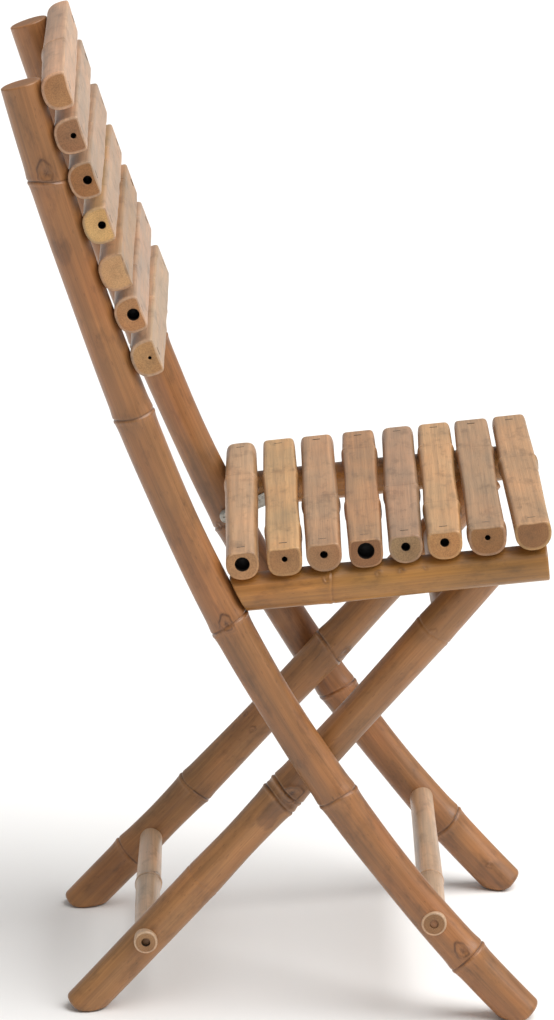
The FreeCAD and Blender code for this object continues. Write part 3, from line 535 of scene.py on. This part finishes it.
def bamboo(name, roughness, coat, sheen_band):
    """Clear-varnished bamboo, its skin scraped and sanded: fibres a millimetre or so apart run the
    length of the culm, the varnish lies thin over them, and sawn ends show the dark dots of the
    fibre bundles and take the varnish in, so they are duller."""
    made, tree = new_material(name)
    if tree is None:
        return made
    grain = add(tree, "ShaderNodeAttribute", attribute_name="grain").outputs["Vector"]
    skin = add(tree, "ShaderNodeAttribute", attribute_name="skin").outputs["Color"]
    sawn = add(tree, "ShaderNodeAttribute", attribute_name="sawn").outputs["Fac"]

    def stretched(scale, detail, rough):
        mapped = add(tree, "ShaderNodeMapping", {"Vector": grain}, Scale=scale)
        vector = mapped.outputs["Vector"]
        noise = add(tree, "ShaderNodeTexNoise", {"Vector": vector}, Scale=1.0, Detail=detail, Roughness=rough)
        return noise.outputs["Fac"]

    # Streaks 3 mm wide and 150 mm long, fibres 1 mm wide and 60 mm long, and clouds 40 mm across
    streaks = stretched((330, 330, 6.5), 4.0, 0.6)
    fibres = stretched((1100, 1100, 16), 3.0, 0.6)
    clouds = stretched((28, 28, 11), 3.0, 0.55)
    # Brown blotches 10 to 30 mm long where the skin was worn or wetted, and short dark flecks
    blotches = stretched((75, 75, 34), 4.0, 0.65)
    flecks = stretched((520, 520, 130), 2.0, 0.5)
    # Bundles on a sawn end are half a millimetre across; they are drawn at one to show.
    bundles = stretched((1000, 1000, 1), 1.0, 0.5)

    def spread(value, low, high, first, last):
        ramp = add(tree, "ShaderNodeMapRange", {"Value": value})
        for key, number in (("From Min", low), ("From Max", high), ("To Min", first), ("To Max", last)):
            ramp.inputs[key].default_value = number
        return ramp.outputs["Result"]

    def times(first, second):
        return add(tree, "ShaderNodeMath", {0: first, 1: second}, operation="MULTIPLY").outputs[0]

    grained = times(spread(streaks, 0.3, 0.72, 0.78, 1.16), spread(fibres, 0.3, 0.7, 0.9, 1.08))
    mottled = times(spread(clouds, 0.3, 0.7, 0.8, 1.14), spread(blotches, 0.52, 0.68, 1.04, 0.74))
    side_shade = times(times(grained, mottled), spread(flecks, 0.66, 0.74, 1.0, 0.72))
    end_shade = spread(bundles, 0.35, 0.6, 0.8, 1.08)
    shade = add(tree, "ShaderNodeMix", {"Factor": sawn, "A": side_shade, "B": end_shade}).outputs["Result"]
    browned = spread(clouds, 0.35, 0.75, 0.15, 0.5)
    warm = add(tree, "ShaderNodeMix", {"Factor": browned}, data_type="RGBA", blend_type="MULTIPLY")
    tree.links.new(skin, warm.inputs["A"])
    warm.inputs["B"].default_value = (*srgb("E2B184"), 1)
    toned = add(tree, "ShaderNodeVectorMath", {0: warm.outputs["Result"], "Scale": shade}, operation="SCALE")
    gloss = spread(streaks, 0.3, 0.7, roughness - sheen_band, roughness + sheen_band)
    dull = add(tree, "ShaderNodeMix", {"Factor": sawn, "A": gloss}, B=0.75).outputs["Result"]
    height = add(tree, "ShaderNodeMath", {0: streaks, 1: fibres}, operation="ADD").outputs[0]
    bump = add(tree, "ShaderNodeBump", {"Height": height}, Strength=0.35, Distance=0.0006)
    shader = add(
        tree,
        "ShaderNodeBsdfPrincipled",
        {"Base Color": toned.outputs["Vector"], "Roughness": dull, "Normal": bump.outputs["Normal"]},
        IOR=1.5,
    )
    shader.inputs["Coat Weight"].default_value = coat
    shader.inputs["Coat Roughness"].default_value = 0.32
    shader.inputs["Coat IOR"].default_value = 1.5
    add(tree, "ShaderNodeOutputMaterial", {"Surface": shader.outputs["BSDF"]})
    return made


def zinc_plated_steel(name, shade, roughness):
    """Zinc plated steel, dulled by handling: small clouds in the plating and fine rubbed lines."""
    made, tree = new_material(name)
    if tree is None:
        return made
    place = add(tree, "ShaderNodeTexCoord").outputs["Object"]
    # Clouds in the plating are about 4 mm across and the rubbed lines 1 mm apart.
    clouds = add(tree, "ShaderNodeTexNoise", {"Vector": place}, Scale=260.0, Detail=3.0).outputs["Fac"]
    rubbed = add(tree, "ShaderNodeMapping", {"Vector": place}, Scale=(1000, 60, 1000)).outputs["Vector"]
    lines = add(tree, "ShaderNodeTexNoise", {"Vector": rubbed}, Scale=1.0, Detail=2.0).outputs["Fac"]
    ramp = add(tree, "ShaderNodeValToRGB", {"Fac": clouds})
    ramp.color_ramp.elements[0].position = 0.3
    ramp.color_ramp.elements[0].color = (*srgb(shade) * 0.6, 1)
    ramp.color_ramp.elements[1].position = 0.7
    ramp.color_ramp.elements[1].color = (*srgb(shade), 1)
    rough = add(tree, "ShaderNodeMapRange", {"Value": lines})
    rough.inputs["To Min"].default_value = roughness - 0.12
    rough.inputs["To Max"].default_value = roughness + 0.12
    bump = add(tree, "ShaderNodeBump", {"Height": lines}, Strength=0.2, Distance=0.0003)
    links = {"Base Color": ramp.outputs["Color"], "Roughness": rough.outputs["Result"]}
    links["Normal"] = bump.outputs["Normal"]
    shader = add(tree, "ShaderNodeBsdfPrincipled", links, Metallic=1.0)
    add(tree, "ShaderNodeOutputMaterial", {"Surface": shader.outputs["BSDF"]})
    return made


# What a user would change
class BambooCulm(bpy.types.PropertyGroup):
    waist: bpy.props.FloatProperty(
        name="Waist", description="How far a culm narrows between nodes, in millimetres",
        default=0.9, min=0, max=3,
    )
    end_easing: bpy.props.FloatProperty(
        name="End easing", description="Radius of the rounded rim at a sawn end, in millimetres",
        default=1.4, min=0.2, max=4,
    )


class BambooFinish(bpy.types.PropertyGroup):
    pole: bpy.props.FloatVectorProperty(
        name="Poles", description="Skin of the long poles",
        subtype="COLOR", default=srgb("9A6C40"), min=0, max=1,
    )
    leg: bpy.props.FloatVectorProperty(
        name="Legs", description="Skin of the short legs",
        subtype="COLOR", default=srgb("9F7344"), min=0, max=1,
    )
    rail: bpy.props.FloatVectorProperty(
        name="Rails", description="Skin of the seat rails",
        subtype="COLOR", default=srgb("A87838"), min=0, max=1,
    )
    # This dark colour is also what the stains and the patches of painted shade darken towards.
    stain_and_shade: bpy.props.FloatVectorProperty(
        name="Stain", description="Dark of the nodes and knots",
        subtype="COLOR", default=srgb("4A2C14"), min=0, max=1,
    )
    skin_lift: bpy.props.FloatProperty(
        name="Slat skins", description="Lightness of the slats' skins",
        default=1.12, min=0.5, max=2, subtype="FACTOR",
    )
    face_lift: bpy.props.FloatProperty(
        name="Slat faces", description="Lightness of the planed faces",
        default=0.88, min=0.5, max=2, subtype="FACTOR",
    )
    end_lift: bpy.props.FloatProperty(
        name="Slat ends", description="Lightness of the sawn ends",
        default=1.08, min=0.5, max=2, subtype="FACTOR",
    )
    steel_roughness: bpy.props.FloatProperty(
        name="Steel roughness", description="How dull the fittings are",
        default=0.38, min=0.15, max=0.9, subtype="FACTOR",
    )


class BambooStage(bpy.types.PropertyGroup):
    floor: bpy.props.FloatVectorProperty(
        name="Floor", description="Colour of the floor", subtype="COLOR", default=srgb("F0EFED"), min=0, max=1
    )
    key: bpy.props.FloatProperty(
        name="Key light", description="Strength of the wide overhead light", default=3.6, min=0, max=20
    )
    key_width: bpy.props.FloatProperty(
        name="Key width", description="How wide the key light looks from the chair", subtype="ANGLE",
        default=math.radians(55), min=0.1, max=math.pi,
    )
    sky: bpy.props.FloatProperty(
        name="Surroundings", description="Brightness of the pale surroundings", default=0.42, min=0, max=5
    )


def culm_finish():
    return bamboo("varnished_bamboo_culm", 0.42, 0.22, 0.08)


def slat_finish():
    return bamboo("planed_bamboo_slat", 0.5, 0.12, 0.06)


def stain_and_shade():
    return np.array(bpy.context.scene.bamboo_finish.stain_and_shade)


def foot(path, length, radius, toe):
    """Where a culm ends at each height over its axis: on the floor, found by stepping to it with
    the slope of the line, or at the square saw cut that takes off its toe, whichever comes first,
    with the ridge between them worn round."""
    sawn = length - (toe - radius * math.sin(FOOT)) / math.cos(FOOT)

    def stop(a):
        s = np.full_like(a, length)
        for _ in range(8):
            centre, out, along = path(s)
            s = s - (centre[..., 2] + a * out[..., 2]) / along[..., 2]
        return smooth_less(s, sawn, 8.0)

    return stop


class BAMBOO_OT_long_poles(bpy.types.Operator):
    """Two bent poles that run from the front feet to the top of the back"""

    bl_idname = "bamboo.long_poles"
    bl_label = "Long poles"

    def execute(self, context):
        skin = np.array(context.scene.bamboo_finish.pole)
        for index, (side, traits) in enumerate(POLES.items()):
            path, length = pole_path(side), POLE_LENGTH[side]
            thing = culm(
                f"long_pole_{side}_culm", path, length, 2 * POLE_R, {"seed": 11 + index, **traits},
                (skin, skin, stain_and_shade(), skin * 0.8), offset=ACROSS * SIDES[side] * POLE_Y,
                stop=foot(path, length, POLE_R, POLE_TOE), last_easing=FOOT_EASING, columns=COLUMNS["pole"],
            )
            dress(thing, f"long_pole_{side}", "long_frame", culm_finish())
        return {"FINISHED"}


class BAMBOO_OT_short_legs(bpy.types.Operator):
    """Two short legs between the poles, from the rear feet to the seat pivots"""

    bl_idname = "bamboo.short_legs"
    bl_label = "Short legs"

    def execute(self, context):
        skin = np.array(context.scene.bamboo_finish.leg)
        for index, (side, traits) in enumerate(LEGS.items()):
            path = leg_path(LEG_TURN[side])
            thing = culm(
                f"short_leg_{side}_culm", path, LEG_LENGTH, 2 * LEG_R, {"seed": 21 + index, **traits},
                (skin, skin, stain_and_shade(), skin * 0.8), offset=ACROSS * SIDES[side] * LEG_Y,
                stop=foot(path, LEG_LENGTH, LEG_R, LEG_TOE[side]), last_easing=FOOT_EASING,
                columns=COLUMNS["pole"],
            )
            dress(thing, f"short_leg_{side}", "short_legs", culm_finish())
        return {"FINISHED"}


class BAMBOO_OT_seat_rails(bpy.types.Operator):
    """Two rails under the seat slats, cut at a slant to meet the poles"""

    bl_idname = "bamboo.seat_rails"
    bl_label = "Seat rails"

    def execute(self, context):
        skin = np.array(context.scene.bamboo_finish.rail)
        lean = RAIL_POLE_SLOPE - SEAT_SLOPE
        gap = (POLE_R + RAIL_POLE_GAP) / math.cos(lean)
        for index, (side, traits) in enumerate(RAILS.items()):
            start = RAIL_FRONT + ACROSS * SIDES[side] * RAIL_Y
            thing = culm(
                f"seat_rail_{side}_culm", line(start, -SEAT_ALONG, SEAT_UP), RAIL_LENGTH, 2 * RAIL_R,
                {"seed": 31 + index, **traits}, (skin, skin, stain_and_shade(), skin * 0.85), bores=(7, 0), square=2.3,
                flats=[(-SIDES[side] * math.pi / 2, RAIL_R - 0.5)], columns=COLUMNS["slat"],
                stop=lambda a: RAIL_LENGTH - gap + math.tan(lean) * a,
            )
            dress(thing, f"seat_rail_{side}", "seat", culm_finish())
        return {"FINISHED"}


def slat(node, body, traits, ends, up, rise, carrier):
    """One slat from its right end to its left through two points of its axis, planed flat on the
    face that shows and scribed over the culms that carry it."""
    girth, square, nodes, bores, _, skin, face, end = traits
    look = bpy.context.scene.bamboo_finish
    colours = (srgb(skin) * look.skin_lift, srgb(face) * look.face_lift, stain_and_shade(), srgb(end) * look.end_lift)
    near, far = ends
    span = np.linalg.norm(far - near)
    across = (far - near) / span
    up = up - across * (up @ across)
    up /= np.linalg.norm(up)
    seed = (40 + sum(map(ord, node)) + int(node[-1]) * 7) % 991
    start = (near + far) / 2 - across * (SLAT_LENGTH / 2)
    notches = [(SLAT_LENGTH / 2 + sign * span / 2, *carrier) for sign in (-1, 1)]
    thing = culm(
        node + "_culm", line(start, across, up), SLAT_LENGTH, girth, {"seed": seed, "nodes": nodes}, colours,
        planed=True, flats=[(0.0, rise)], bores=bores, square=square, corner=3.5, notches=notches,
        columns=COLUMNS["slat"],
    )
    dress(thing, node, body, slat_finish())


class BAMBOO_OT_seat_slats(bpy.types.Operator):
    """Eight slats across the seat, planed on top"""

    bl_idname = "bamboo.seat_slats"
    bl_label = "Seat slats"

    def execute(self, context):
        for index, traits in enumerate(SEAT_SLATS, 1):
            height = RAIL_R - SEAT_SCRIBE + traits[0] / 2
            back = FRONT_SLAT_SETBACK + (len(SEAT_SLATS) - index) * SEAT_PITCH
            middle = RAIL_FRONT - SEAT_ALONG * back + SEAT_UP * height
            ends = [
                middle + SEAT_ALONG * shift + ACROSS * SIDES[side] * RAIL_Y
                for side, shift in zip(("right", "left"), traits[4])
            ]
            rise = SEAT_THICKNESS - traits[0] / 2
            slat(f"seat_slat_{index}", "seat", traits, ends, SEAT_UP, rise, (RAIL_R, -height))
        return {"FINISHED"}


class BAMBOO_OT_back_slats(bpy.types.Operator):
    """Seven slats across the back, planed on the front"""

    bl_idname = "bamboo.back_slats"
    bl_label = "Back slats"

    def execute(self, context):
        for index, traits in enumerate(BACK_SLATS, 1):
            height = POLE_R - BACK_SCRIBE + traits[0] / 2
            down = TOP_SLAT_DROP + (index - 1) * BACK_PITCH
            ends, ups = [], []
            for side, shift in zip(("right", "left"), traits[4]):
                centre, out, _ = pole_path(side)(np.float64(down - shift))
                ends.append(centre + out * height + ACROSS * SIDES[side] * POLE_Y)
                ups.append(out)
            rise = BACK_THICKNESS - traits[0] / 2
            slat(f"back_slat_{index}", "long_frame", traits, ends, ups[0] + ups[1], rise, (POLE_R, -height))
        return {"FINISHED"}


class BAMBOO_OT_rungs(bpy.types.Operator):
    """Round rungs through the feet and between the tops of the short legs"""

    bl_idname = "bamboo.rungs"
    bl_label = "Rungs"

    def execute(self, context):
        pole, leg = (pole_path("right"), POLE_LENGTH["right"]), (leg_path(0.0), LEG_LENGTH)
        places = {
            "front_rung": (*pole, FRONT_RUNG_HEIGHT),
            "rear_rung": (*leg, REAR_RUNG_HEIGHT),
            "upper_rung": (*leg, SEAT_PIVOT[2] - UPPER_RUNG_DROP),
        }
        for index, (node, place) in enumerate(places.items()):
            girth, half, nodes, knots, bores, skin, end = RUNGS[node]
            start = at_height(*place) - ACROSS * half
            up = side_view(np.float64(0.0), np.float64(1.0))
            thing = culm(
                node + "_culm", line(start, ACROSS, up), 2 * half, girth,
                {"seed": 61 + index, "nodes": nodes, "knots": knots},
                (srgb(skin), srgb(skin), stain_and_shade(), srgb(end)), bores=bores, columns=COLUMNS["rung"],
            )
            body = "long_frame" if node == "front_rung" else "short_legs"
            dress(thing, node, body, culm_finish())
        return {"FINISHED"}


class BAMBOO_OT_fittings(bpy.types.Operator):
    """Steel pins, washers, catch bolts, hooks and staples, as the frame has them"""

    bl_idname = "bamboo.fittings"
    bl_label = "Steel fittings"

    def execute(self, context):
        rough = context.scene.bamboo_finish.steel_roughness
        plated = zinc_plated_steel("zinc_plated_steel", "B9B4AA", rough)
        wire = zinc_plated_steel("galvanised_staple_wire", "8C8479", rough + 0.1)
        for name, thing in frame["nodes"].items():
            if any(word in name for word in ("pin", "washer", "catch_bolt", "hook")):
                thing.data.materials.clear()
                thing.data.materials.append(plated)
            elif "staples" in name:
                thing.data.materials.clear()
                thing.data.materials.append(wire)
        return {"FINISHED"}


class BAMBOO_OT_stage(bpy.types.Operator):
    """Pale floor, soft studio light and the camera"""

    bl_idname = "bamboo.stage"
    bl_label = "Stage"

    def execute(self, context):
        look = context.scene.bamboo_stage
        scene = context.scene
        mesh = bpy.data.meshes.new("studio_floor")
        mesh.from_pydata([(-9, -9, 0), (9, -9, 0), (9, 9, 0), (-9, 9, 0)], [], [(0, 1, 2, 3)])
        floor = bpy.data.objects.new("studio_floor", mesh)
        scene.collection.objects.link(floor)
        made, tree = new_material("matt_studio_paper")
        if tree:
            # Matt paper: a faint tooth that breaks up the light, with no shine
            place = add(tree, "ShaderNodeTexCoord").outputs["Object"]
            tooth = add(tree, "ShaderNodeTexNoise", {"Vector": place}, Scale=400.0, Detail=2.0).outputs["Fac"]
            bump = add(tree, "ShaderNodeBump", {"Height": tooth}, Strength=0.05, Distance=0.0005)
            paper = add(tree, "ShaderNodeBsdfPrincipled", {"Normal": bump.outputs["Normal"]}, Roughness=0.9)
            paper.inputs["Base Color"].default_value = (*look.floor, 1)
            add(tree, "ShaderNodeOutputMaterial", {"Surface": paper.outputs["BSDF"]})
        mesh.materials.append(made)
        world = bpy.data.worlds.new("white_surroundings")
        world.use_nodes = True
        # The surroundings light the chair softly but look white behind it
        tree = world.node_tree
        seen = add(tree, "ShaderNodeLightPath").outputs["Is Camera Ray"]
        strength = add(tree, "ShaderNodeMapRange", {"Value": seen})
        strength.inputs["To Min"].default_value = look.sky
        tree.links.new(strength.outputs["Result"], tree.nodes["Background"].inputs["Strength"])
        tree.nodes["Background"].inputs["Color"].default_value = (1, 1, 1, 1)
        scene.world = world
        # A wide, distant light above and a little before the chair, as from a large ceiling softbox
        lamp = bpy.data.lights.new("overhead_softbox", "SUN")
        lamp.energy = look.key
        lamp.angle = look.key_width
        thing = bpy.data.objects.new("overhead_softbox", lamp)
        thing.rotation_euler = look_along((-0.62, 0.26, -1.0), 0.0).to_euler()
        scene.collection.objects.link(thing)
        camera = bpy.data.cameras.new("photo_camera")
        camera.sensor_fit = "VERTICAL"
        camera.sensor_height = 36
        camera.lens = 5585 / 1020 * 36
        camera.clip_end = 60
        thing = bpy.data.objects.new("photo_camera", camera)
        azimuth, pitch = math.radians(0.18), math.radians(14.62)
        aim = (math.sin(azimuth) * math.cos(pitch), math.cos(azimuth) * math.cos(pitch), -math.sin(pitch))
        turned = look_along(aim, math.radians(-0.50)).to_4x4()
        turned.translation = (-0.01445, -4.9348, 1.7129)
        thing.matrix_world = turned
        scene.collection.objects.link(thing)
        scene.camera = thing
        scene.view_settings.view_transform = "Standard"
        return {"FINISHED"}


def look_along(aim, roll):
    """Rotation that points -Z along a direction, with +Y up, then rolls about it."""
    aim = np.array(aim, float) / np.linalg.norm(aim)
    right = np.cross(aim, (0, 0, 1))
    right /= np.linalg.norm(right)
    up = np.cross(right, aim)
    turned = right * math.cos(roll) + up * math.sin(roll)
    raised = up * math.cos(roll) - right * math.sin(roll)
    return Matrix(np.stack([turned, raised, -aim], 1).tolist())


OPERATORS = (
    BAMBOO_OT_long_poles, BAMBOO_OT_short_legs, BAMBOO_OT_seat_rails, BAMBOO_OT_seat_slats,
    BAMBOO_OT_back_slats, BAMBOO_OT_rungs, BAMBOO_OT_fittings, BAMBOO_OT_stage,
)
GROUPS = {"bamboo_culm": BambooCulm, "bamboo_finish": BambooFinish, "bamboo_stage": BambooStage}


class BAMBOO_PT_chair(bpy.types.Panel):
    """Lists the chair's settings and pieces"""

    bl_idname = "BAMBOO_PT_chair"
    bl_label = "Bamboo Chair"
    bl_space_type = "VIEW_3D"
    bl_region_type = "UI"
    bl_category = "Bamboo Chair"

    def draw(self, context):
        for name, group in GROUPS.items():
            box = self.layout.box()
            for field in group.__annotations__:
                box.prop(getattr(context.scene, name), field)
        for operator in OPERATORS:
            self.layout.operator(operator.bl_idname)


CLASSES = (*GROUPS.values(), *OPERATORS, BAMBOO_PT_chair)


def register():
    for item in CLASSES:
        bpy.utils.register_class(item)
    for name, group in GROUPS.items():
        setattr(bpy.types.Scene, name, bpy.props.PointerProperty(type=group))


def unregister():
    for name in GROUPS:
        delattr(bpy.types.Scene, name)
    for item in reversed(CLASSES):
        bpy.utils.unregister_class(item)


def main():
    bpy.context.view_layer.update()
    register()
    for operator in OPERATORS:
        family, name = operator.bl_idname.split(".")
        getattr(getattr(bpy.ops, family), name)()


if __name__ == "__main__":
    main()
